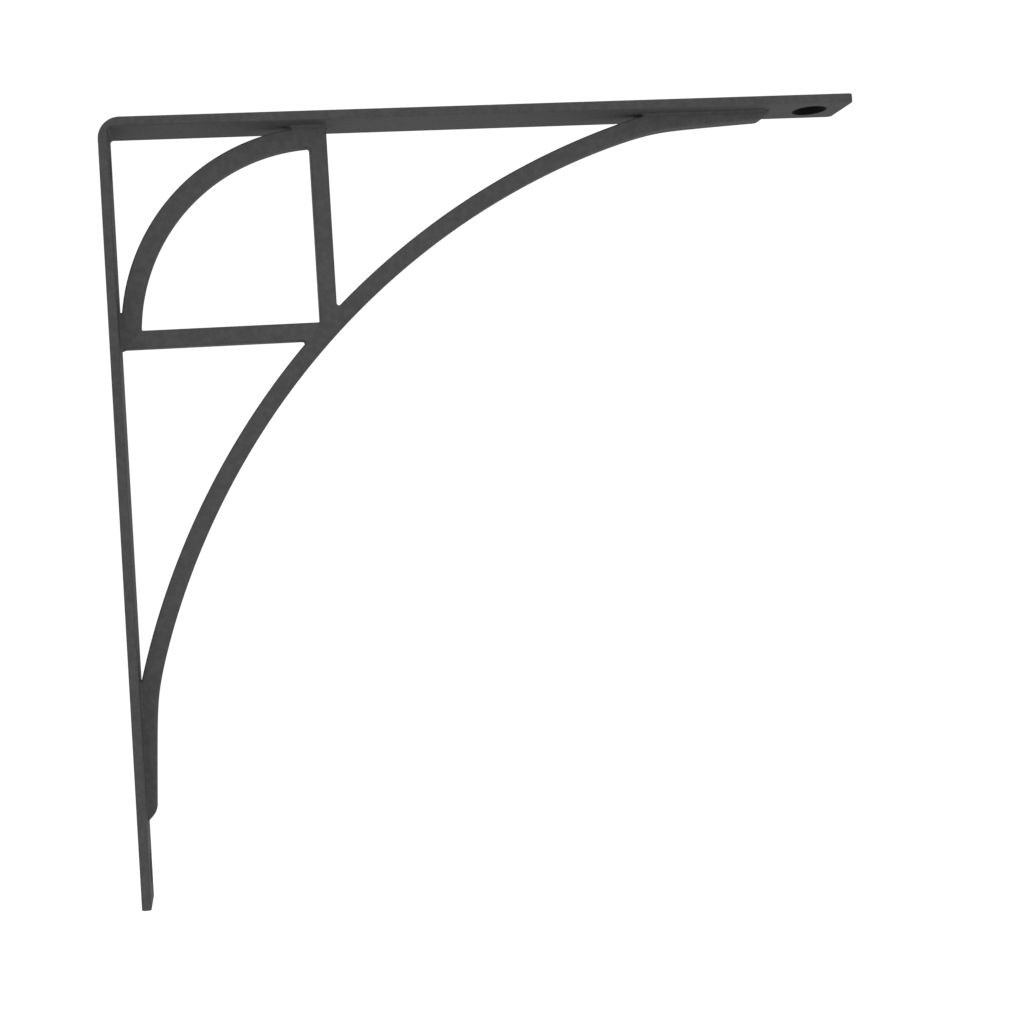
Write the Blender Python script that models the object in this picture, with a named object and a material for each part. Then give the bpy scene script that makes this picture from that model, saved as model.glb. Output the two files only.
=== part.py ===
"""Steel shelf bracket: two equal legs bent from one flat strip, braced inside the corner by a
large arc, a small arc, an upright bar and a cross bar.

Metres, +Z up. X runs away from the wall, Y runs across the strip. The origin is on the back
face of the wall leg, halfway up it."""

from math import acos, asin, cos, pi, radians, sin, sqrt

import bmesh
import bpy
from mathutils import Matrix, Vector

# Driving dimensions
LEG = 0.250                 # outer length of each leg, measured from the outer corner
STRIP_WIDTH = 0.020
STRIP_THICK = 0.0030
BEND_OUTER = 0.0070         # radius of the bend at the corner, outside and inside
BEND_INNER = 0.0010
BAR_DEPTH = 0.0058          # size of every brace bar across the strip
BRACE_START = 0.0674        # from a leg's outer face to the near face of its parallel brace
BRACE_BAR = 0.0057          # width of the upright and cross bars, seen from the side
GAP = 0.0003                # clearance that welded pieces keep in this model

# Small arc, a quarter ring that lies against both legs
SMALL_CENTRE = 0.0702       # distance of its centre from both outer faces
SMALL_OUTER = 0.0667
SMALL_INNER = 0.0604

# Large arc, which eases onto both legs near their tips
LARGE_CENTRE = 0.2450
LARGE_FREE = 0.2446         # radius of the edge that faces the room
LARGE_BACK = 0.2503         # radius of the edge that faces the corner
RUN_START = 0.190           # place along a leg where the low end run begins
RUN_END = 0.2190            # place along a leg where the rounded nose begins
NOSE_LENGTH = 0.0045
NOSE_SLOPE = 0.8            # below 1 the nose slopes more, above it the nose is blunter
RUN_LIFT_START = 0.0076     # distance of the free edge from the leg's outer face at RUN_START
RUN_LIFT_END = 0.0061       # the same at RUN_END
EASING = 0.0015             # how softly the circle turns into the low end run

# Screw holes, countersunk from the inner side of the strip
HOLE_RADIUS = 0.0030
SINK_RADIUS = 0.0055
SINK_DEPTH = 0.0025
TIP_HOLE = 0.2382           # hole near the tip of each leg, from the outer corner
TOP_HOLE = 0.0140           # upper hole of the wall leg, from the top

# Softening of edges
STRIP_EDGE = 0.0005
BAR_EDGE = 0.0005
TIP_CORNER = 0.0020         # radius of the strip's end corners
OVERRUN = 0.002             # how far a cutter runs past what it cuts

TOP = LEG / 2
ARC_STEPS = 44
SMALL_STEPS = 20
BEND_STEPS = 6
CORNER_STEPS = 4
NOSE_STEPS = 4
HOLE_SIDES = 32

COATING_COLOUR = (0.045, 0.045, 0.0455, 1.0)
COATING_ROUGHNESS = 0.74


def clear_scene():
    for thing in list(bpy.data.objects):
        bpy.data.objects.remove(thing, do_unlink=True)


def coating(name):
    """Matt charcoal powder coat of one piece."""
    material = bpy.data.materials.new(name)
    material.use_nodes = True
    shader = material.node_tree.nodes["Principled BSDF"]
    shader.inputs["Base Color"].default_value = COATING_COLOUR
    shader.inputs["Roughness"].default_value = COATING_ROUGHNESS
    material.diffuse_color = COATING_COLOUR
    return material


def from_corner(along, off):
    """A point in the plane of the bracket, measured in from the outer faces of the two legs."""
    return Vector((along, 0.0, TOP - off))


def mirrored(points):
    """The same points with the two legs changed over, in reverse order."""
    return [(off, along) for along, off in reversed(points)]


def arc_points(centre, radius, start, end, steps):
    """Points on a circle round (centre, centre), by angle from the corner's diagonal."""
    points = []
    for step in range(steps + 1):
        angle = start + (end - start) * step / steps
        direction = 5 * pi / 4 + angle
        points.append((centre + radius * cos(direction), centre + radius * sin(direction)))
    return points


def prism(name, outline, depth):
    """A closed solid: an outline in (along, off) pairs, drawn out evenly to both sides of Y 0."""
    mesh = bpy.data.meshes.new(name)
    shape = bmesh.new()
    front = [shape.verts.new(from_corner(*pair) + Vector((0.0, -depth / 2, 0.0))) for pair in outline]
    face = shape.faces.new(front)
    grown = bmesh.ops.extrude_face_region(shape, geom=[face])
    moved = [part for part in grown["geom"] if isinstance(part, bmesh.types.BMVert)]
    bmesh.ops.translate(shape, verts=moved, vec=(0.0, depth, 0.0))
    bmesh.ops.recalc_face_normals(shape, faces=shape.faces)
    shape.to_mesh(mesh)
    shape.free()
    piece = bpy.data.objects.new(name, mesh)
    bpy.context.collection.objects.link(piece)
    piece.data.materials.append(coating(name + "_coating"))
    return piece


def soften(piece, width):
    """A narrow chamfer along the square edges only."""
    bevel = piece.modifiers.new("soft_edges", "BEVEL")
    bevel.width = width
    bevel.segments = 1
    bevel.limit_method = "ANGLE"
    bevel.angle_limit = radians(50)


def bend_arc(face, radius):
    """One face of the bent corner, from the wall leg round to the arm. The face is given by its
    distance from the outer face of a leg."""
    centre = face + radius
    points = []
    for step in range(BEND_STEPS + 1):
        angle = pi / 2 * step / BEND_STEPS
        points.append((centre - radius * cos(angle), centre - radius * sin(angle)))
    return points


def round_tips(mesh):
    """Rounds the two corners at each free end of the strip, seen square on to the strip."""
    shape = bmesh.new()
    shape.from_mesh(mesh)
    lowest = TOP - LEG
    corners = []
    for edge in shape.edges:
        ends = [vert.co for vert in edge.verts]
        on_side = all(abs(abs(end.y) - STRIP_WIDTH / 2) < GAP for end in ends)
        at_arm_tip = all(abs(end.x - LEG) < GAP for end in ends)
        at_wall_tip = all(abs(end.z - lowest) < GAP for end in ends)
        if on_side and ends[0].y * ends[1].y > 0 and (at_arm_tip or at_wall_tip):
            corners.append(edge)
    bmesh.ops.bevel(
        shape,
        geom=corners,
        offset=TIP_CORNER,
        segments=CORNER_STEPS,
        profile=0.5,
        affect="EDGES",
        clamp_overlap=True,
    )
    shape.to_mesh(mesh)
    shape.free()


def screw_cutter(name, centre, inward):
    """A hole with a countersink that opens along the unit vector inward."""
    mesh = bpy.data.meshes.new(name)
    shape = bmesh.new()
    mouth = STRIP_THICK + OVERRUN
    slope = (SINK_RADIUS - HOLE_RADIUS) / SINK_DEPTH
    profile = [
        (HOLE_RADIUS, -OVERRUN),
        (HOLE_RADIUS, STRIP_THICK - SINK_DEPTH),
        (SINK_RADIUS + OVERRUN * slope, mouth),
    ]
    rings = []
    for radius, height in profile:
        ring = []
        for side in range(HOLE_SIDES):
            turn = 2 * pi * side / HOLE_SIDES
            ring.append(shape.verts.new((radius * cos(turn), radius * sin(turn), height)))
        rings.append(ring)
    for low, high in zip(rings, rings[1:]):
        for side in range(HOLE_SIDES):
            after = (side + 1) % HOLE_SIDES
            shape.faces.new((low[side], low[after], high[after], high[side]))
    shape.faces.new(list(reversed(rings[0])))
    shape.faces.new(rings[-1])
    bmesh.ops.recalc_face_normals(shape, faces=shape.faces)
    turn = Vector((0.0, 0.0, 1.0)).rotation_difference(Vector(inward)).to_matrix().to_4x4()
    bmesh.ops.transform(shape, matrix=Matrix.Translation(centre) @ turn, verts=shape.verts)
    shape.to_mesh(mesh)
    shape.free()
    cutter = bpy.data.objects.new(name, mesh)
    bpy.context.collection.objects.link(cutter)
    cutter.hide_render = True
    cutter.display_type = "WIRE"
    return cutter


def angle_strip():
    """The flat strip, bent square, with its screw holes."""
    outline = [(0.0, LEG)] + bend_arc(0.0, BEND_OUTER) + [(LEG, 0.0), (LEG, STRIP_THICK)]
    outline += list(reversed(bend_arc(STRIP_THICK, BEND_INNER))) + [(STRIP_THICK, LEG)]
    strip = prism("angle_strip", outline, STRIP_WIDTH)
    round_tips(strip.data)
    soften(strip, STRIP_EDGE)
    wall_in = (1.0, 0.0, 0.0)
    arm_in = (0.0, 0.0, -1.0)
    holes = {
        "arm_tip_hole": (from_corner(TIP_HOLE, 0.0), arm_in),
        "wall_tip_hole": (from_corner(0.0, TIP_HOLE), wall_in),
        "wall_top_hole": (from_corner(0.0, TOP_HOLE), wall_in),
    }
    for name, (centre, inward) in holes.items():
        cut = strip.modifiers.new(name, "BOOLEAN")
        cut.operation = "DIFFERENCE"
        cut.solver = "EXACT"
        cut.object = screw_cutter(name, centre, inward)
    return strip


def small_arc():
    """Quarter ring between the legs, ending square against the two straight braces."""
    stop = BRACE_START - GAP
    outer_turn = asin((SMALL_CENTRE - stop) / SMALL_OUTER)
    inner_turn = asin((SMALL_CENTRE - stop) / SMALL_INNER)
    outer = arc_points(SMALL_CENTRE, SMALL_OUTER, outer_turn - pi / 4, pi / 4 - outer_turn, SMALL_STEPS)
    inner = arc_points(SMALL_CENTRE, SMALL_INNER, inner_turn - pi / 4, pi / 4 - inner_turn, SMALL_STEPS)
    arc = prism("small_arc", outer + list(reversed(inner)), BAR_DEPTH)
    soften(arc, BAR_EDGE)
    return arc


def free_edge(along):
    """Distance of the large arc's free edge from a leg's outer face, at a place along that leg."""
    circle = LARGE_CENTRE - sqrt(LARGE_FREE**2 - (LARGE_CENTRE - along) ** 2)
    fall = (RUN_LIFT_START - RUN_LIFT_END) / (RUN_END - RUN_START)
    run = RUN_LIFT_START - fall * (along - RUN_START)
    return (circle + run + sqrt((circle - run) ** 2 + EASING**2)) / 2


def large_arc_half():
    """Free edge of the large arc from the diagonal to the arm end, then the nose and the seat."""
    seat = STRIP_THICK + GAP
    middle = LARGE_CENTRE - LARGE_FREE / sqrt(2)
    points = []
    for step in range(ARC_STEPS // 2 + 1):
        turn = pi / 4 * step / (ARC_STEPS // 2)
        along = middle + (RUN_END - middle) * sin(turn) / sin(pi / 4)
        points.append((along, free_edge(along)))
    height = points[-1][1] - seat
    for step in range(1, NOSE_STEPS + 1):
        part = step / NOSE_STEPS
        reach = NOSE_SLOPE * part * (1 - part) + part**2
        points.append((RUN_END + NOSE_LENGTH * reach, seat + height * (1 - part**2)))
    return points


def large_arc():
    """The long curved bar from tip to tip, whose ends lie along the legs."""
    seat = STRIP_THICK + GAP
    free_side = large_arc_half()
    touch = acos((LARGE_CENTRE - seat) / LARGE_BACK)
    back_side = arc_points(LARGE_CENTRE, LARGE_BACK, pi / 4 - touch, touch - pi / 4, ARC_STEPS)
    arc = prism("large_arc", mirrored(free_side)[:-1] + free_side + back_side, BAR_DEPTH)
    soften(arc, BAR_EDGE)
    return arc


def brace_limit(along):
    """How far a brace may reach from a leg's outer face before it meets the large arc."""
    back = LARGE_CENTRE - sqrt(LARGE_BACK**2 - (LARGE_CENTRE - along) ** 2)
    return back - GAP * sqrt(2)


def upright_bar():
    """Straight brace from under the arm down to the large arc, whose slope its lower end follows."""
    seat = STRIP_THICK + GAP
    near = BRACE_START
    far = BRACE_START + BRACE_BAR
    outline = [(near, seat), (far, seat), (far, brace_limit(far)), (near, brace_limit(near))]
    bar = prism("upright_bar", outline, BAR_DEPTH)
    soften(bar, BAR_EDGE)
    return bar


def cross_bar():
    """Straight brace from the wall leg, butted against the upright bar and the large arc."""
    seat = STRIP_THICK + GAP
    top = BRACE_START
    bottom = BRACE_START + BRACE_BAR
    stop = BRACE_START - GAP
    end_slope = [(stop, brace_limit(stop)), (brace_limit(bottom), bottom)]
    outline = [(seat, top), (stop, top)] + end_slope + [(seat, bottom)]
    bar = prism("cross_bar", outline, BAR_DEPTH)
    soften(bar, BAR_EDGE)
    return bar


def build():
    clear_scene()
    angle_strip()
    small_arc()
    large_arc()
    upright_bar()
    cross_bar()


build()
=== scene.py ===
"""Looks of the steel shelf bracket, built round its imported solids.

Metres, +Z up. X runs away from the wall and Y across the strip. The origin is on the back of the
wall leg, halfway up it. A place in the plane of the bracket is written as two distances from the
outer corner: along the arm, and off it, down the wall leg. The two legs are alike, so a shape on
the wall leg is the one on the arm with the two distances changed over."""

from math import atan2, cos, pi, radians, sin, sqrt

import bmesh
import bpy
from mathutils import Matrix, Vector


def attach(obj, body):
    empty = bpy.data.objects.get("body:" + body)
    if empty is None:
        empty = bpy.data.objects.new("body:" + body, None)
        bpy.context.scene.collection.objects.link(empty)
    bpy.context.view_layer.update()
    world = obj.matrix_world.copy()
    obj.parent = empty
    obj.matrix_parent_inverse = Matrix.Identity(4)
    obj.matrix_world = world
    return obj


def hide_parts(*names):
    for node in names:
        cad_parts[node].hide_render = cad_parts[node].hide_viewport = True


# The strip
LEG = 0.250                 # outer length of each leg
TOP = LEG / 2
STRIP_WIDTH = 0.020
STRIP_THICK = 0.0030
BEND_OUTER = 0.0070         # radius of the bend at the corner, outside and inside
BEND_INNER = 0.0010
STRIP_EDGE = 0.0006         # rounding of its long edges under the paint
TIP_CORNER = 0.0020         # rounding of its end corners

# The bars inside the corner
BAR_DEPTH = 0.0058
BAR_EDGE = 0.0006
BRACE_NEAR = 0.0674         # from a leg's outer face to the near side of its parallel brace
BRACE_FAR = 0.0731
SMALL_CENTRE = 0.0702       # small arc: distance of its centre from both outer faces
SMALL_OUTER = 0.0667
SMALL_INNER = 0.0604
LARGE_CENTRE = 0.2450
LARGE_FREE = 0.2446         # large arc: edge that faces the room
LARGE_BACK = 0.2503         # large arc: edge that faces the corner
RUN_START = 0.190           # where the low end run of the large arc begins
RUN_END = 0.2190            # where its nose begins
RUN_LIFT_START = 0.0076
RUN_LIFT_END = 0.0061
NOSE_LENGTH = 0.0045
NOSE_SLOPE = 0.8            # below 1 the nose starts steeper than it ends
EASING = 0.0015             # how softly the circle of the large arc turns into its end run
SUNK_SEAT = 0.0012          # the bars' seats lie hidden in the strip, this far from its outer face
WELD_FACE = STRIP_THICK - 0.0001    # the welds start a touch under the strip's inner face
SMALL_NOTCH_FILL = 0.0006   # weld left in the sharp notches at the small and the large arc
LARGE_NOTCH_FILL = 0.0003
CORNER_FILL = 0.0007        # weld left in the open corners

# Screw holes: the arm's, the wall leg's low one and its upper one
HOLE_RADIUS = 0.0030
SINK_RADIUS = 0.0055
SINK_DEPTH = 0.0025
RIM_EASE = 0.00025          # rounding of the rims under the paint
CUT_PAST = 0.0020           # the cutters reach this far out of the outer face
TIP_HOLE = 0.2382
TOP_HOLE = 0.0140

# Weld beads along both sides of the bars where they stand on the strip
BEAD_SIZE = 0.0012
BEAD_STEP = 0.00045
BEAD_CLEAR = 1.2            # a bead stops this many bead sizes before the nose's end
SEAM_CORNER = 0.0009        # rounding of a seam at a bar's corners
WELD_SEEDS = ((3.0, 5.0), (8.0, 10.0))

# Steps in which the curved outlines are drawn
EDGE_STEPS = 4
TIP_STEPS = 6
FILL_STEPS = 8
CORNER_STEPS = 5
NOSE_STEPS = 12
BEND_STEPS = 16
ARC_STEPS = 40
LARGE_ARC_STEPS = 60
FREE_EDGE_STEPS = 120
HOLE_SIDES = 64
MERGE_GAP = 2e-6
SHARP_ANGLE = 50            # degrees from which an edge is shaded sharp
RIM_SHARP_ANGLE = 35        # the same on the strip with its holes

# Powder coat, and painted shade inside the screw holes: their walls are coloured black where shade
# falls in the recess
COAT_COLOUR = (0.045, 0.045, 0.0455, 1.0)
WORN_COLOUR = (0.078, 0.078, 0.079, 1.0)
COAT_ROUGHNESS = 0.74
COAT_WEAR = 0.3
COAT_IOR = 1.45
COAT_SPECULAR = 0.18
COAT_TONES = (0.80, 1.20)   # darkest and lightest patches of the coat
CLOUD_SHARE = 0.4           # how much of the uneven tone comes from each noise
SCUFF_SHARE = 0.3
GRAIN_SHARE = 0.3
SCUFF_START = 0.42
SCUFF_GAIN = 3.5
PEEL_SCALE = 900.0
GRAIN_SCALE = 4.5           # powder grain, as a multiple of the orange peel
PEEL_STRENGTH = 0.8
PEEL_HEIGHT = 0.00015
# Painted shade: the walls of the screw holes get this near-black colour, made metallic and rough,
# for the shade in the recess
PAINTED_RECESS_SHADE = (0.010, 0.010, 0.010, 1.0)
RECESS_ROUGHNESS = 0.9
ARM_PAINTED_SHADE = 1.0             # share of a recess's depth that is coloured black as painted shade
WALL_PAINTED_SHADE = 0.45

# Camera, fitted to edges measured in the photograph
CAMERA_PLACE = (0.02985, -0.49678, -0.00582)
CAMERA_TURN = (91.598, 3.572, -6.468)
CAMERA_LENS = 53.85
CAMERA_SHIFT = (0.12, -0.04)

# Studio: a floor, a white room and soft lights, each with its place, size and power
FLOOR_HEIGHT = -0.36
FLOOR_RADIUS = 1.2
FLOOR_TONES = (0.93, 0.97)
ROOM_SEEN = 1.05            # brightness of the white room in view, and as light on things
ROOM_LIGHT = 0.75
LAMPS = (
    ("front_light", (0.3, -2.2, 0.2), 1.0, 19.0),
    ("ceiling_light", (0.0, 0.3, 2.6), 3.0, 42.0),
    ("back_light", (-1.4, 1.8, 0.5), 1.3, 10.0),
)


def swapped(points):
    """The same points on the other leg, in reverse order."""
    return [(off, along) for along, off in reversed(points)]


def arc(centre, radius, start, end, steps):
    """Points round a centre between two angles, both from the along axis towards the off axis."""
    points = []
    for step in range(steps + 1):
        angle = start + (end - start) * step / steps
        points.append((centre[0] + radius * cos(angle), centre[1] + radius * sin(angle)))
    return points


def angle_of(centre, point):
    """Angle at which a point lies, seen from a centre."""
    return atan2(point[1] - centre[1], point[0] - centre[0])


def fill_corner(centre, radius, start, end, steps=FILL_STEPS):
    """The hollow face of a weld in a corner: a small arc between two directions, the short way."""
    first = atan2(start[1], start[0])
    sweep = (atan2(end[1], end[0]) - first + pi) % (2 * pi) - pi
    return arc(centre, radius, first, first + sweep, steps)


def towards(start, end):
    """Direction of length 1 from one point to another."""
    length = sqrt((end[0] - start[0]) ** 2 + (end[1] - start[1]) ** 2)
    return ((end[0] - start[0]) / length, (end[1] - start[1]) / length)


def free_edge(along):
    """Distance of the large arc's room side from a leg's outer face, at a place along that leg."""
    circle = LARGE_CENTRE - sqrt(LARGE_FREE**2 - (LARGE_CENTRE - along) ** 2)
    fall = (RUN_LIFT_START - RUN_LIFT_END) / (RUN_END - RUN_START)
    run = RUN_LIFT_START - fall * (along - RUN_START)
    return (circle + run + sqrt((circle - run) ** 2 + EASING**2)) / 2


def notch_centre(ring_centre, ring_radius, fill):
    """Centre of a weld's hollow that touches the strip's face and the corner side of an arc."""
    rise = ring_centre - WELD_FACE - fill
    return (ring_centre - sqrt((ring_radius + fill) ** 2 - rise**2), WELD_FACE + fill)


def web_half():
    """Outline of the bars on the arm's side, from the small arc's middle to the large arc's."""
    small = (SMALL_CENTRE, SMALL_CENTRE)
    large = (LARGE_CENTRE, LARGE_CENTRE)
    up = (0.0, -1.0)
    points = []

    notch = notch_centre(SMALL_CENTRE, SMALL_OUTER, SMALL_NOTCH_FILL)
    points += arc(small, SMALL_OUTER, -3 * pi / 4, angle_of(small, notch), ARC_STEPS)
    points += fill_corner(notch, SMALL_NOTCH_FILL, towards(notch, small), up)[1:]
    points.append((notch[0], SUNK_SEAT))

    foot = (BRACE_FAR + CORNER_FILL, WELD_FACE + CORNER_FILL)
    points.append((foot[0], SUNK_SEAT))
    points += fill_corner(foot, CORNER_FILL, up, (-1.0, 0.0))

    reach = LARGE_CENTRE - BRACE_FAR - CORNER_FILL
    rise = sqrt((LARGE_BACK + CORNER_FILL) ** 2 - reach**2)
    joint = (BRACE_FAR + CORNER_FILL, LARGE_CENTRE - rise)
    points += fill_corner(joint, CORNER_FILL, (-1.0, 0.0), towards(joint, large))

    end = notch_centre(LARGE_CENTRE, LARGE_BACK, LARGE_NOTCH_FILL)
    start_angle, end_angle = angle_of(large, joint), angle_of(large, end)
    points += arc(large, LARGE_BACK, start_angle, end_angle, LARGE_ARC_STEPS)[1:]
    points += fill_corner(end, LARGE_NOTCH_FILL, towards(end, large), up)[1:]
    points.append((end[0], SUNK_SEAT))

    points.append((RUN_END + NOSE_LENGTH, SUNK_SEAT))
    height = free_edge(RUN_END) - STRIP_THICK
    for step in range(NOSE_STEPS + 1):
        part = 1 - step / NOSE_STEPS
        reach = NOSE_SLOPE * part * (1 - part) + part**2
        points.append((RUN_END + NOSE_LENGTH * reach, STRIP_THICK + height * (1 - part**2)))
    middle = LARGE_CENTRE - LARGE_FREE / sqrt(2)
    for step in range(1, FREE_EDGE_STEPS + 1):
        turn = pi / 4 * (1 - step / FREE_EDGE_STEPS)
        along = middle + (RUN_END - middle) * sin(turn) / sin(pi / 4)
        points.append((along, free_edge(along)))
    return points


def square_half():
    """Edge of the square opening on the arm's side, from the small arc's middle to the joint."""
    small = (SMALL_CENTRE, SMALL_CENTRE)
    side = BRACE_NEAR - CORNER_FILL
    rise = sqrt((SMALL_INNER - CORNER_FILL) ** 2 - (SMALL_CENTRE - side) ** 2)
    corner = (side, SMALL_CENTRE - rise)
    points = arc(small, SMALL_INNER, -3 * pi / 4, angle_of(small, corner), ARC_STEPS)
    points += fill_corner(corner, CORNER_FILL, towards(small, corner), (1.0, 0.0))[1:]
    points += fill_corner((side, side), CORNER_FILL, (1.0, 0.0), (1.0, 1.0), CORNER_STEPS)
    return points


def smooth_form(mesh, angle=SHARP_ANGLE):
    """Closes the mesh, turns its faces outwards and shades it smooth up to an angle."""
    form = bmesh.new()
    form.from_mesh(mesh)
    bmesh.ops.remove_doubles(form, verts=form.verts, dist=MERGE_GAP)
    bmesh.ops.recalc_face_normals(form, faces=form.faces)
    form.to_mesh(mesh)
    form.free()
    for face in mesh.polygons:
        face.use_smooth = True
    mesh.set_sharp_from_angle(angle=radians(angle))


def finished(name, source, material):
    """A plain mesh object of what the source object shows, its modifiers included."""
    source.modifiers.new("even_light", "WEIGHTED_NORMAL").keep_sharp = True
    graph = bpy.context.evaluated_depsgraph_get()
    mesh = bpy.data.meshes.new_from_object(source.evaluated_get(graph))
    mesh.name = name
    mesh.materials.clear()
    mesh.materials.append(material)
    piece = bpy.data.objects.new(name, mesh)
    bpy.context.collection.objects.link(piece)
    bpy.data.objects.remove(source, do_unlink=True)
    return piece


def bars(material):
    """The arcs and the straight braces, welded into one piece and ground flush."""
    curve = bpy.data.curves.new("bars_outline", "CURVE")
    curve.dimensions = "2D"
    curve.fill_mode = "BOTH"
    curve.extrude = BAR_DEPTH / 2 - BAR_EDGE
    curve.bevel_depth = BAR_EDGE
    curve.bevel_resolution = 2
    curve.offset = -BAR_EDGE
    half = web_half()
    opening = square_half()
    for outline in (half + swapped(half)[1:-1], opening + swapped(opening)[1:-1]):
        spline = curve.splines.new("POLY")
        spline.points.add(len(outline) - 1)
        for point, (along, off) in zip(spline.points, outline):
            point.co = (along, TOP - off, 0.0, 1.0)
        spline.use_cyclic_u = True
    drawn = bpy.data.objects.new("bars_outline", curve)
    bpy.context.collection.objects.link(drawn)
    graph = bpy.context.evaluated_depsgraph_get()
    mesh = bpy.data.meshes.new_from_object(drawn.evaluated_get(graph))
    bpy.data.objects.remove(drawn, do_unlink=True)
    mesh.transform(Matrix.Rotation(pi / 2, 4, "X"))
    smooth_form(mesh)
    source = bpy.data.objects.new("bars_source", mesh)
    bpy.context.collection.objects.link(source)
    return finished("welded_bars", source, material)


def strip_ring(form, place, outward, half_width, half_thick):
    """One section through the strip, with rounded edges."""
    across = Vector((0.0, 1.0, 0.0))
    ring = []
    for quarter, (side, face) in enumerate(((1, 1), (-1, 1), (-1, -1), (1, -1))):
        for step in range(EDGE_STEPS + 1):
            turn = pi / 2 * (quarter + step / EDGE_STEPS)
            width = side * (half_width - STRIP_EDGE) + STRIP_EDGE * cos(turn)
            thick = face * (half_thick - STRIP_EDGE) + STRIP_EDGE * sin(turn)
            ring.append(form.verts.new(place + across * width + outward * thick))
    return ring


def strip_path():
    """Pairs of places on the strip's outer and inner face, with the distance to a tip."""
    near_tip = []
    for step in range(EDGE_STEPS + 1):
        near_tip.append(STRIP_EDGE * (1 - cos(pi / 2 * step / EDGE_STEPS)))
    for step in range(TIP_STEPS // 2, TIP_STEPS + 1):
        near_tip.append(TIP_CORNER * (1 - cos(pi / 2 * step / TIP_STEPS)))
    path = []
    for gap in near_tip:
        low = TOP - LEG + gap
        path.append((Vector((0.0, 0.0, low)), Vector((STRIP_THICK, 0.0, low)), gap))
    inner = STRIP_THICK + BEND_INNER
    for step in range(BEND_STEPS + 1):
        turn = pi / 2 * step / BEND_STEPS
        outward = Vector((-cos(turn), 0.0, sin(turn)))
        outer_place = Vector((BEND_OUTER, 0.0, TOP - BEND_OUTER)) + outward * BEND_OUTER
        inner_place = Vector((inner, 0.0, TOP - inner)) + outward * BEND_INNER
        path.append((outer_place, inner_place, TIP_CORNER))
    for gap in reversed(near_tip):
        along = LEG - gap
        path.append((Vector((along, 0.0, TOP)), Vector((along, 0.0, TOP - STRIP_THICK)), gap))
    return path


def screw_cutter(name, place, inward):
    """The shape a countersunk hole takes out of the strip, its rims eased."""
    form = bmesh.new()
    profile = [
        (HOLE_RADIUS + 3 * RIM_EASE, -CUT_PAST),
        (HOLE_RADIUS + RIM_EASE, 0.0),
        (HOLE_RADIUS, RIM_EASE),
        (HOLE_RADIUS, STRIP_THICK - SINK_DEPTH),
        (SINK_RADIUS - RIM_EASE, STRIP_THICK - RIM_EASE),
        (SINK_RADIUS + 0.3 * RIM_EASE, STRIP_THICK),
        (SINK_RADIUS + 4 * RIM_EASE, STRIP_THICK + RIM_EASE),
    ]
    rings = []
    for radius, height in profile:
        ring = []
        for side in range(HOLE_SIDES):
            turn = 2 * pi * side / HOLE_SIDES
            ring.append(form.verts.new((radius * cos(turn), radius * sin(turn), height)))
        rings.append(ring)
    for low, high in zip(rings, rings[1:]):
        for side in range(HOLE_SIDES):
            after = (side + 1) % HOLE_SIDES
            form.faces.new((low[side], low[after], high[after], high[side]))
    form.faces.new(list(reversed(rings[0])))
    form.faces.new(rings[-1])
    bmesh.ops.recalc_face_normals(form, faces=form.faces)
    turn = Vector((0.0, 0.0, 1.0)).rotation_difference(Vector(inward)).to_matrix().to_4x4()
    bmesh.ops.transform(form, matrix=Matrix.Translation(place) @ turn, verts=form.verts)
    mesh = bpy.data.meshes.new(name)
    form.to_mesh(mesh)
    form.free()
    cutter = bpy.data.objects.new(name, mesh)
    bpy.context.collection.objects.link(cutter)
    return cutter


def strip(material):
    """The flat strip, bent at the corner, with rounded edges and countersunk screw holes."""
    form = bmesh.new()
    rings = []
    for outer, inner, gap in strip_path():
        corner = TIP_CORNER - sqrt(TIP_CORNER**2 - (TIP_CORNER - gap) ** 2)
        ease = 0.0
        if gap < STRIP_EDGE:
            ease = STRIP_EDGE - sqrt(STRIP_EDGE**2 - (STRIP_EDGE - gap) ** 2)
        half_width = STRIP_WIDTH / 2 - corner - ease
        half_thick = (outer - inner).length / 2 - ease
        outward = (outer - inner).normalized()
        rings.append(strip_ring(form, (outer + inner) / 2, outward, half_width, half_thick))
    for low, high in zip(rings, rings[1:]):
        count = len(low)
        for side in range(count):
            after = (side + 1) % count
            form.faces.new((low[side], low[after], high[after], high[side]))
    form.faces.new(rings[0])
    form.faces.new(rings[-1])
    mesh = bpy.data.meshes.new("strip_source")
    form.to_mesh(mesh)
    form.free()
    smooth_form(mesh)
    source = bpy.data.objects.new("strip_source", mesh)
    bpy.context.collection.objects.link(source)
    arm_in = (0.0, 0.0, -1.0)
    wall_in = (1.0, 0.0, 0.0)
    cutters = [
        screw_cutter("arm_hole", Vector((TIP_HOLE, 0.0, TOP)), arm_in),
        screw_cutter("wall_low_hole", Vector((0.0, 0.0, TOP - TIP_HOLE)), wall_in),
        screw_cutter("wall_top_hole", Vector((0.0, 0.0, TOP - TOP_HOLE)), wall_in),
    ]
    for cutter in cutters:
        cut = source.modifiers.new(cutter.name, "BOOLEAN")
        cut.operation = "DIFFERENCE"
        cut.solver = "EXACT"
        cut.object = cutter
    graph = bpy.context.evaluated_depsgraph_get()
    mesh = bpy.data.meshes.new_from_object(source.evaluated_get(graph))
    bpy.data.objects.remove(source, do_unlink=True)
    for cutter in cutters:
        bpy.data.objects.remove(cutter, do_unlink=True)
    smooth_form(mesh, RIM_SHARP_ANGLE)
    pierced = bpy.data.objects.new("strip_pierced", mesh)
    bpy.context.collection.objects.link(pierced)
    return finished("bent_strip", pierced, material)


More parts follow.
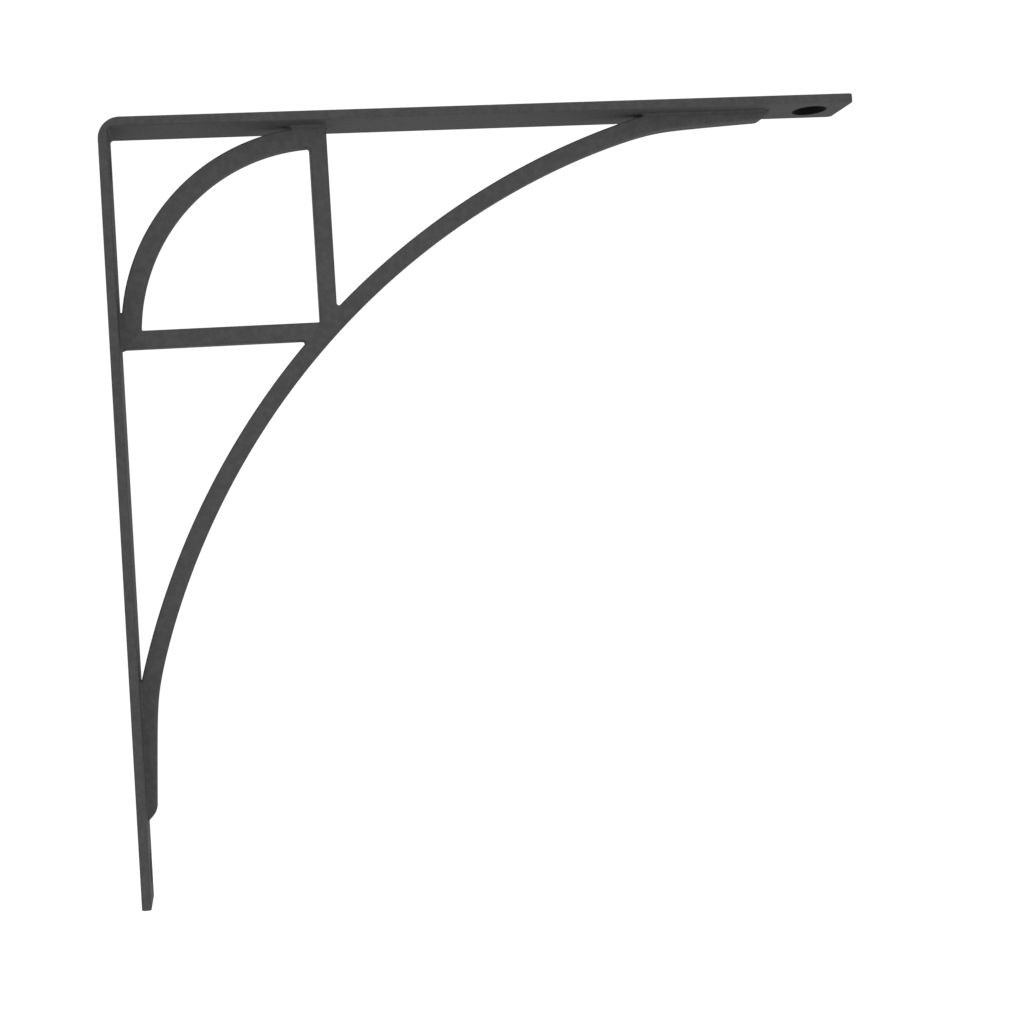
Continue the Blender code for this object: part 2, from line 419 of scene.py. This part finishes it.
class Nodes:
    """Places nodes in a tree and joins them, so that a tree reads from top to bottom."""

    def __init__(self, tree):
        self.tree = tree

    def add(self, kind, label="", **settings):
        node = self.tree.nodes.new(kind)
        node.label = label
        for name, value in settings.items():
            setattr(node, name, value)
        return node

    def join(self, output, socket):
        self.tree.links.new(output, socket)

    def calc(self, operation, first, second, label="", clamp=False):
        """One step of sums, on two numbers or outputs of other nodes."""
        node = self.add("ShaderNodeMath", label, operation=operation, use_clamp=clamp)
        for socket, value in zip(node.inputs, (first, second)):
            if isinstance(value, (int, float)):
                socket.default_value = value
            else:
                self.join(value, socket)
        return node.outputs[0]


def group_socket(tree, name, kind, value=None, output=False):
    """A named input, or output, of a node group."""
    socket = tree.interface.new_socket(
        name=name, in_out="OUTPUT" if output else "INPUT", socket_type=kind
    )
    if value is not None:
        socket.default_value = value
    return socket


def weld_bead_tree():
    """Follows a seam with a small rippled weld fillet, as it shows under paint."""
    tree = bpy.data.node_groups.new("weld_bead", "GeometryNodeTree")
    group_socket(tree, "Seam", "NodeSocketGeometry")
    group_socket(tree, "Bead Size", "NodeSocketFloat", BEAD_SIZE)
    group_socket(tree, "Bead Root", "NodeSocketFloat", -0.1)
    group_socket(tree, "Ripple Pitch", "NodeSocketFloat", 0.0016)
    group_socket(tree, "Ripple Depth", "NodeSocketFloat", 0.06)
    group_socket(tree, "Unevenness", "NodeSocketFloat", 0.22)
    group_socket(tree, "Seed", "NodeSocketFloat", 4.0)
    group_socket(tree, "Paint", "NodeSocketMaterial")
    group_socket(tree, "Bead", "NodeSocketGeometry", output=True)
    nodes = Nodes(tree)
    given = nodes.add("NodeGroupInput").outputs
    seam = nodes.add("GeometryNodeResampleCurve", "even steps", mode="LENGTH")
    nodes.join(given["Seam"], seam.inputs["Curve"])
    seam.inputs["Length"].default_value = BEAD_STEP

    length = nodes.add("GeometryNodeSplineParameter").outputs["Length"]
    turns = nodes.calc("DIVIDE", length, given["Ripple Pitch"], "ripples so far")
    wave = nodes.calc("SINE", nodes.calc("MULTIPLY", turns, 2 * pi), 0.0)
    ripple = nodes.calc("MULTIPLY", wave, given["Ripple Depth"], "ripple")
    place = nodes.add("GeometryNodeInputPosition").outputs["Position"]
    noise = nodes.add("ShaderNodeTexNoise", "uneven hand", noise_dimensions="4D")
    nodes.join(place, noise.inputs["Vector"])
    nodes.join(given["Seed"], noise.inputs["W"])
    noise.inputs["Scale"].default_value = 160.0
    noise.inputs["Detail"].default_value = 2.0
    swing = nodes.calc("SUBTRACT", noise.outputs["Fac"], 0.5)
    swing = nodes.calc("MULTIPLY", swing, given["Unevenness"])
    scale = nodes.calc("ADD", nodes.calc("ADD", ripple, swing), 1.0, "size along the seam")

    wedge = nodes.add("GeometryNodeCurvePrimitiveQuadrilateral", "bead section", mode="POINTS")
    size = given["Bead Size"]
    sunk = nodes.calc("MULTIPLY", size, given["Bead Root"])
    for socket, (out, high) in zip(
        ("Point 1", "Point 2", "Point 4"), ((sunk, sunk), (size, sunk), (sunk, size))
    ):
        point = nodes.add("ShaderNodeCombineXYZ")
        nodes.join(out, point.inputs["X"])
        below = nodes.calc("MULTIPLY", high, -1.0, "the section is drawn upside down")
        nodes.join(below, point.inputs["Y"])
        nodes.join(point.outputs[0], wedge.inputs[socket])
    wedge.inputs["Point 3"].default_value = (0.0, 0.0, 0.0)
    number = nodes.add("GeometryNodeInputIndex").outputs["Index"]
    third = nodes.add("ShaderNodeMath", "the point in the corner", operation="COMPARE")
    nodes.join(number, third.inputs[0])
    third.inputs[1].default_value = 2.0
    third.inputs[2].default_value = 0.5
    section = nodes.add("GeometryNodeFilletCurve", "hollow face", mode="POLY")
    nodes.join(wedge.outputs["Curve"], section.inputs["Curve"])
    nodes.join(nodes.calc("MULTIPLY", third.outputs[0], size), section.inputs["Radius"])
    section.inputs["Count"].default_value = 6

    upright = nodes.add("GeometryNodeSetCurveNormal", "keep level", mode="Z_UP")
    nodes.join(seam.outputs["Curve"], upright.inputs["Curve"])
    swept = nodes.add("GeometryNodeCurveToMesh", "sweep")
    nodes.join(upright.outputs["Curve"], swept.inputs["Curve"])
    nodes.join(section.outputs["Curve"], swept.inputs["Profile Curve"])
    nodes.join(scale, swept.inputs["Scale"])
    real = nodes.add("GeometryNodeRealizeInstances")
    nodes.join(swept.outputs["Mesh"], real.inputs["Geometry"])
    paint = nodes.add("GeometryNodeSetMaterial")
    nodes.join(real.outputs["Geometry"], paint.inputs["Geometry"])
    nodes.join(given["Paint"], paint.inputs["Material"])
    out = nodes.add("NodeGroupOutput")
    nodes.join(paint.outputs["Geometry"], out.inputs["Bead"])
    return tree


def seam_loop(name, start, end):
    """The line round a bar's foot on the strip, drawn flat, from start to end along a leg."""
    low, high = start + SEAM_CORNER, end - SEAM_CORNER
    side = BAR_DEPTH / 2 - SEAM_CORNER
    corners = (
        ((high, side), 0.0),
        ((low, side), pi / 2),
        ((low, -side), pi),
        ((high, -side), 3 * pi / 2),
    )
    points = []
    for centre, first in corners:
        points += arc(centre, SEAM_CORNER, first, first + pi / 2, EDGE_STEPS)
    curve = bpy.data.curves.new(name, "CURVE")
    curve.dimensions = "3D"
    spline = curve.splines.new("POLY")
    spline.points.add(len(points) - 1)
    for point, (x, y) in zip(spline.points, points):
        point.co = (x, y, 0.0, 1.0)
    spline.use_cyclic_u = True
    seam = bpy.data.objects.new(name, curve)
    bpy.context.collection.objects.link(seam)
    return seam


def weld_beads(material):
    """Beads round the feet of the bars: two on the arm and the same two on the wall leg."""
    brace_start = notch_centre(SMALL_CENTRE, SMALL_OUTER, SMALL_NOTCH_FILL)[0]
    large_start = notch_centre(LARGE_CENTRE, LARGE_BACK, LARGE_NOTCH_FILL)[0]
    spans = {
        "brace_foot": (brace_start, BRACE_FAR + CORNER_FILL / 2),
        "large_arc_foot": (large_start, RUN_END + NOSE_LENGTH - BEAD_CLEAR * BEAD_SIZE),
    }
    on_arm = Matrix.Translation((0.0, 0.0, TOP - STRIP_THICK)) @ Matrix.Rotation(pi, 4, "X")
    on_wall = Matrix((
        (0.0, 0.0, 1.0, STRIP_THICK),
        (0.0, 1.0, 0.0, 0.0),
        (-1.0, 0.0, 0.0, TOP),
        (0.0, 0.0, 0.0, 1.0),
    ))
    tree = weld_bead_tree()
    sockets = {item.name: item.identifier for item in tree.interface.items_tree}
    form = bmesh.new()
    for leg, place in enumerate((on_arm, on_wall)):
        for number, (name, (start, end)) in enumerate(spans.items()):
            seam = seam_loop(name, start, end)
            bead = seam.modifiers.new("weld", "NODES")
            bead.node_group = tree
            bead[sockets["Seed"]] = WELD_SEEDS[leg][number]
            bead[sockets["Paint"]] = material
            graph = bpy.context.evaluated_depsgraph_get()
            mesh = bpy.data.meshes.new_from_object(seam.evaluated_get(graph))
            mesh.transform(place)
            form.from_mesh(mesh)
            bpy.data.objects.remove(seam, do_unlink=True)
    mesh = bpy.data.meshes.new("weld_beads")
    form.to_mesh(mesh)
    form.free()
    smooth_form(mesh)
    mesh.materials.clear()
    mesh.materials.append(material)
    piece = bpy.data.objects.new("weld_beads", mesh)
    bpy.context.collection.objects.link(piece)
    return piece


def powder_coat_group():
    """Powder coat: colour, roughness and the height of its orange-peel skin, with worn edges."""
    tree = bpy.data.node_groups.new("powder_coat", "ShaderNodeTree")
    group_socket(tree, "Place", "NodeSocketVector")
    group_socket(tree, "Colour", "NodeSocketColor", COAT_COLOUR)
    group_socket(tree, "Worn Colour", "NodeSocketColor", WORN_COLOUR)
    group_socket(tree, "Edge Distance", "NodeSocketFloat", 0.01)
    group_socket(tree, "Edge Width", "NodeSocketFloat", 0.0008)
    group_socket(tree, "Wear", "NodeSocketFloat", COAT_WEAR)
    group_socket(tree, "Peel Scale", "NodeSocketFloat", PEEL_SCALE)
    group_socket(tree, "Roughness", "NodeSocketFloat", COAT_ROUGHNESS)
    group_socket(tree, "Colour", "NodeSocketColor", output=True)
    group_socket(tree, "Roughness", "NodeSocketFloat", output=True)
    group_socket(tree, "Height", "NodeSocketFloat", output=True)
    nodes = Nodes(tree)
    given = nodes.add("NodeGroupInput").outputs

    def noise(label, scale, detail, rough=0.5):
        node = nodes.add("ShaderNodeTexNoise", label)
        nodes.join(given["Place"], node.inputs["Vector"])
        if isinstance(scale, (int, float)):
            node.inputs["Scale"].default_value = scale
        else:
            nodes.join(scale, node.inputs["Scale"])
        node.inputs["Detail"].default_value = detail
        node.inputs["Roughness"].default_value = rough
        return node.outputs["Fac"]

    clouds = noise("thickness of the coat", scale=35.0, detail=3.0)
    peel = noise("orange peel", scale=given["Peel Scale"], detail=1.0)
    fine = nodes.calc("MULTIPLY", given["Peel Scale"], GRAIN_SCALE)
    grain = noise("powder grain", scale=fine, detail=2.0, rough=0.7)
    scuffs = noise("scuffs", scale=420.0, detail=5.0, rough=0.7)

    apart = nodes.add("ShaderNodeSeparateXYZ")
    nodes.join(given["Place"], apart.inputs[0])
    side = nodes.calc("ABSOLUTE", apart.outputs["Y"], 0.0)
    inside = nodes.calc("SUBTRACT", given["Edge Distance"], side, "distance from the long edge")
    inside = nodes.calc("DIVIDE", inside, given["Edge Width"])
    near = nodes.calc("SUBTRACT", 1.0, inside, "near the edge", clamp=True)
    patchy = nodes.calc("SUBTRACT", scuffs, SCUFF_START)
    patchy = nodes.calc("MULTIPLY", patchy, SCUFF_GAIN, "patches", clamp=True)
    worn = nodes.calc("MULTIPLY", nodes.calc("MULTIPLY", near, patchy), given["Wear"], "worn")

    tone = nodes.add("ShaderNodeMix", "cloudy tone", data_type="RGBA", blend_type="MULTIPLY")
    nodes.join(given["Colour"], tone.inputs["A"])
    ramp = nodes.add("ShaderNodeMapRange", "light and dark of the coat")
    cloud_part = nodes.calc("MULTIPLY", clouds, CLOUD_SHARE)
    mottle = nodes.calc("ADD", cloud_part, nodes.calc("MULTIPLY", scuffs, SCUFF_SHARE))
    mottle = nodes.calc("ADD", mottle, nodes.calc("MULTIPLY", grain, GRAIN_SHARE), "mottle")
    nodes.join(mottle, ramp.inputs["Value"])
    ramp.inputs["From Min"].default_value = 0.3
    ramp.inputs["From Max"].default_value = 0.7
    ramp.inputs["To Min"].default_value = COAT_TONES[0]
    ramp.inputs["To Max"].default_value = COAT_TONES[1]
    shade = nodes.add("ShaderNodeCombineColor")
    for channel in ("Red", "Green", "Blue"):
        nodes.join(ramp.outputs["Result"], shade.inputs[channel])
    tone.inputs["Factor"].default_value = 1.0
    nodes.join(shade.outputs["Color"], tone.inputs["B"])
    rubbed = nodes.add("ShaderNodeMix", "rubbed edges", data_type="RGBA")
    nodes.join(worn, rubbed.inputs["Factor"])
    nodes.join(tone.outputs["Result"], rubbed.inputs["A"])
    nodes.join(given["Worn Colour"], rubbed.inputs["B"])

    # Thick patches and coarse grain are duller, and rubbed edges a little shinier and lower
    gloss = nodes.calc("MULTIPLY", nodes.calc("SUBTRACT", clouds, 0.5), 0.22)
    grain_part = nodes.calc("MULTIPLY", nodes.calc("SUBTRACT", grain, 0.5), 0.14)
    gloss = nodes.calc("ADD", gloss, grain_part)
    gloss = nodes.calc("SUBTRACT", gloss, nodes.calc("MULTIPLY", worn, 0.10))
    gloss = nodes.calc("ADD", gloss, given["Roughness"], "roughness", clamp=True)
    height = nodes.calc("ADD", peel, nodes.calc("MULTIPLY", grain, 0.22))
    height = nodes.calc("SUBTRACT", height, nodes.calc("MULTIPLY", worn, 0.25), "height")

    out = nodes.add("NodeGroupOutput")
    nodes.join(rubbed.outputs["Result"], out.inputs["Colour"])
    nodes.join(gloss, out.inputs["Roughness"])
    nodes.join(height, out.inputs["Height"])
    return tree


def painted_recess_shade_group():
    """Painted shade inside a countersunk screw hole: 1 on its walls, where shade falls, and 0 on
    the faces round it.
    """
    tree = bpy.data.node_groups.new("painted_shade_in_recess", "ShaderNodeTree")
    group_socket(tree, "Place", "NodeSocketVector")
    group_socket(tree, "Hole", "NodeSocketVector")
    group_socket(tree, "Inward", "NodeSocketVector")
    group_socket(tree, "Hole Radius", "NodeSocketFloat", HOLE_RADIUS)
    group_socket(tree, "Sink Radius", "NodeSocketFloat", SINK_RADIUS)
    group_socket(tree, "Sink Start", "NodeSocketFloat", STRIP_THICK - SINK_DEPTH)
    group_socket(tree, "Sink Depth", "NodeSocketFloat", SINK_DEPTH)
    group_socket(tree, "Painted Shade Share", "NodeSocketFloat", 1.0)
    group_socket(tree, "Soft Rim", "NodeSocketFloat", 0.0004)
    group_socket(tree, "Painted Shade Mask", "NodeSocketFloat", output=True)
    nodes = Nodes(tree)
    given = nodes.add("NodeGroupInput").outputs
    offset = nodes.add("ShaderNodeVectorMath", "from the hole", operation="SUBTRACT")
    nodes.join(given["Place"], offset.inputs[0])
    nodes.join(given["Hole"], offset.inputs[1])
    deep = nodes.add("ShaderNodeVectorMath", "depth from the outer face", operation="DOT_PRODUCT")
    nodes.join(offset.outputs["Vector"], deep.inputs[0])
    nodes.join(given["Inward"], deep.inputs[1])
    along = nodes.add("ShaderNodeVectorMath", "along the screw", operation="SCALE")
    nodes.join(given["Inward"], along.inputs["Vector"])
    nodes.join(deep.outputs["Value"], along.inputs["Scale"])
    flat = nodes.add("ShaderNodeVectorMath", "across the screw", operation="SUBTRACT")
    nodes.join(offset.outputs["Vector"], flat.inputs[0])
    nodes.join(along.outputs["Vector"], flat.inputs[1])
    away = nodes.add("ShaderNodeVectorMath", "distance from the axis", operation="LENGTH")
    nodes.join(flat.outputs["Vector"], away.inputs[0])
    risen = nodes.calc("SUBTRACT", deep.outputs["Value"], given["Sink Start"])
    opened = nodes.calc("DIVIDE", risen, given["Sink Depth"], "sink opened so far", clamp=True)
    opened = nodes.calc("MINIMUM", opened, given["Painted Shade Share"])
    flare = nodes.calc("SUBTRACT", given["Sink Radius"], given["Hole Radius"])
    limit = nodes.calc("ADD", given["Hole Radius"], nodes.calc("MULTIPLY", opened, flare))
    beyond = nodes.calc("SUBTRACT", away.outputs["Value"], limit, "beyond the rim")
    beyond = nodes.calc("DIVIDE", beyond, given["Soft Rim"])
    fade = nodes.add("ShaderNodeMapRange", "soft rim", interpolation_type="SMOOTHSTEP")
    nodes.join(beyond, fade.inputs["Value"])
    fade.inputs["From Min"].default_value = 0.2
    fade.inputs["From Max"].default_value = 1.2
    fade.inputs["To Min"].default_value = 1.0
    fade.inputs["To Max"].default_value = 0.0
    out = nodes.add("NodeGroupOutput")
    nodes.join(fade.outputs["Result"], out.inputs["Painted Shade Mask"])
    return tree


def coated(name, coat, values, recess=None, screw_holes=()):
    """A powder-coated steel, with painted shade, near black, inside the screw holes if it has any.
    """
    material = bpy.data.materials.new(name)
    material.use_nodes = True
    nodes = Nodes(material.node_tree)
    shader = material.node_tree.nodes["Principled BSDF"]
    shader.inputs["Metallic"].default_value = 0.0
    shader.inputs["IOR"].default_value = COAT_IOR
    shader.inputs["Specular IOR Level"].default_value = COAT_SPECULAR
    place = nodes.add("ShaderNodeTexCoord").outputs["Object"]
    paint = nodes.add("ShaderNodeGroup", "powder coat", node_tree=coat)
    nodes.join(place, paint.inputs["Place"])
    for socket, value in values.items():
        paint.inputs[socket].default_value = value
    colour = paint.outputs["Colour"]
    rough = paint.outputs["Roughness"]
    # Painted shade: inside the screw holes the colour turns near black, metallic and rough,
    # standing in for the shade in the recess
    if screw_holes:
        painted_shade_mask = 0.0
        for hole, inward, painted_shade_share in screw_holes:
            inside = nodes.add("ShaderNodeGroup", "screw hole painted shade", node_tree=recess)
            nodes.join(place, inside.inputs["Place"])
            inside.inputs["Hole"].default_value = hole
            inside.inputs["Inward"].default_value = inward
            inside.inputs["Painted Shade Share"].default_value = painted_shade_share
            painted_shade_mask = nodes.calc("MAXIMUM", inside.outputs["Painted Shade Mask"], painted_shade_mask)
        mix = nodes.add("ShaderNodeMix", "painted shade colour", data_type="RGBA")
        nodes.join(painted_shade_mask, mix.inputs["Factor"])
        nodes.join(colour, mix.inputs["A"])
        mix.inputs["B"].default_value = PAINTED_RECESS_SHADE
        colour = mix.outputs["Result"]
        nodes.join(painted_shade_mask, shader.inputs["Metallic"])
        dull = nodes.add("ShaderNodeMix", "recess roughness", data_type="FLOAT")
        nodes.join(painted_shade_mask, dull.inputs["Factor"])
        nodes.join(rough, dull.inputs["A"])
        dull.inputs["B"].default_value = RECESS_ROUGHNESS
        rough = dull.outputs["Result"]
    nodes.join(colour, shader.inputs["Base Color"])
    nodes.join(rough, shader.inputs["Roughness"])
    bump = nodes.add("ShaderNodeBump", "orange peel")
    bump.inputs["Strength"].default_value = PEEL_STRENGTH
    bump.inputs["Distance"].default_value = PEEL_HEIGHT
    nodes.join(paint.outputs["Height"], bump.inputs["Height"])
    nodes.join(bump.outputs["Normal"], shader.inputs["Normal"])
    return material


def studio():
    """A plain pale floor, white surroundings and soft lights."""
    material = bpy.data.materials.new("pale_floor")
    material.use_nodes = True
    nodes = Nodes(material.node_tree)
    shader = material.node_tree.nodes["Principled BSDF"]
    shader.inputs["Roughness"].default_value = 0.9
    place = nodes.add("ShaderNodeTexCoord").outputs["Object"]
    noise = nodes.add("ShaderNodeTexNoise", "faint unevenness")
    nodes.join(place, noise.inputs["Vector"])
    noise.inputs["Scale"].default_value = 3.0
    ramp = nodes.add("ShaderNodeValToRGB")
    for element, tone in zip(ramp.color_ramp.elements, FLOOR_TONES):
        element.color = (tone, tone, tone, 1.0)
    nodes.join(noise.outputs["Fac"], ramp.inputs["Fac"])
    nodes.join(ramp.outputs["Color"], shader.inputs["Base Color"])
    mesh = bpy.data.meshes.new("floor")
    form = bmesh.new()
    bmesh.ops.create_circle(form, cap_ends=True, segments=96, radius=FLOOR_RADIUS)
    bmesh.ops.translate(form, verts=form.verts, vec=(0.0, 0.0, FLOOR_HEIGHT))
    form.to_mesh(mesh)
    form.free()
    mesh.materials.append(material)
    floor = bpy.data.objects.new("floor", mesh)
    bpy.context.collection.objects.link(floor)

    world = bpy.data.worlds.new("white_room")
    world.use_nodes = True
    white = world.node_tree.nodes["Background"]
    white.inputs["Color"].default_value = (1.0, 1.0, 1.0, 1.0)
    nodes = Nodes(world.node_tree)
    seen = nodes.add("ShaderNodeLightPath").outputs["Is Camera Ray"]
    extra = nodes.calc("MULTIPLY", seen, ROOM_SEEN - ROOM_LIGHT)
    nodes.join(nodes.calc("ADD", extra, ROOM_LIGHT), white.inputs["Strength"])
    bpy.context.scene.world = world

    for name, place, size, power in LAMPS:
        light = bpy.data.lights.new(name, "AREA")
        light.size = size
        light.energy = power
        lamp = bpy.data.objects.new(name, light)
        lamp.location = place
        aim = Vector((LEG / 2, 0.0, 0.0)) - Vector(place)
        lamp.rotation_euler = aim.to_track_quat("-Z", "Y").to_euler()
        bpy.context.collection.objects.link(lamp)


def camera():
    """The camera at the photograph's viewing angle."""
    lens = bpy.data.cameras.new("camera")
    lens.lens = CAMERA_LENS
    lens.sensor_width = 36.0
    lens.shift_x = CAMERA_SHIFT[0]
    lens.shift_y = CAMERA_SHIFT[1]
    lens.clip_start = 0.01
    lens.clip_end = 50.0
    viewer = bpy.data.objects.new("camera", lens)
    viewer.location = CAMERA_PLACE
    viewer.rotation_euler = [radians(angle) for angle in CAMERA_TURN]
    bpy.context.collection.objects.link(viewer)
    bpy.context.scene.camera = viewer
    bpy.context.scene.view_settings.view_transform = "Standard"


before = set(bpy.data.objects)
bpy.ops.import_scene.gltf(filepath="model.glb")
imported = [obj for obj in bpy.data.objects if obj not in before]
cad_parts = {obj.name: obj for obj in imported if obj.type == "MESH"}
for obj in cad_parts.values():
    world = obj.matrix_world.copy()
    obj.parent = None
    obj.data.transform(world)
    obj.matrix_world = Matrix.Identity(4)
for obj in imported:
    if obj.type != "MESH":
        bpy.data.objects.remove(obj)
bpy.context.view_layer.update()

coat = powder_coat_group()
recess = painted_recess_shade_group()
# Screw holes that get painted shade inside: place, inward direction and the share of the recess
# coloured black
holes = (
    ((TIP_HOLE, 0.0, TOP), (0.0, 0.0, -1.0), ARM_PAINTED_SHADE),
    ((0.0, 0.0, TOP - TIP_HOLE), (1.0, 0.0, 0.0), WALL_PAINTED_SHADE),
    ((0.0, 0.0, TOP - TOP_HOLE), (1.0, 0.0, 0.0), WALL_PAINTED_SHADE),
)
strip_paint = coated("strip_coating", coat, {"Edge Distance": STRIP_WIDTH / 2}, recess, holes)
bar_paint = coated("bar_coating", coat, {"Edge Distance": BAR_DEPTH / 2, "Edge Width": 0.0006})

bent_strip = strip(strip_paint)
welded_bars = bars(bar_paint)
beads = weld_beads(bar_paint)

finishes = (
    (bent_strip, "strip_coating"),
    (welded_bars, "bar_coating"),
    (beads, "bar_coating"),
)
for piece, finish in finishes:
    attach(piece, "root")
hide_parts("angle_strip")
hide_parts("large_arc", "small_arc", "upright_bar", "cross_bar")

studio()
camera()
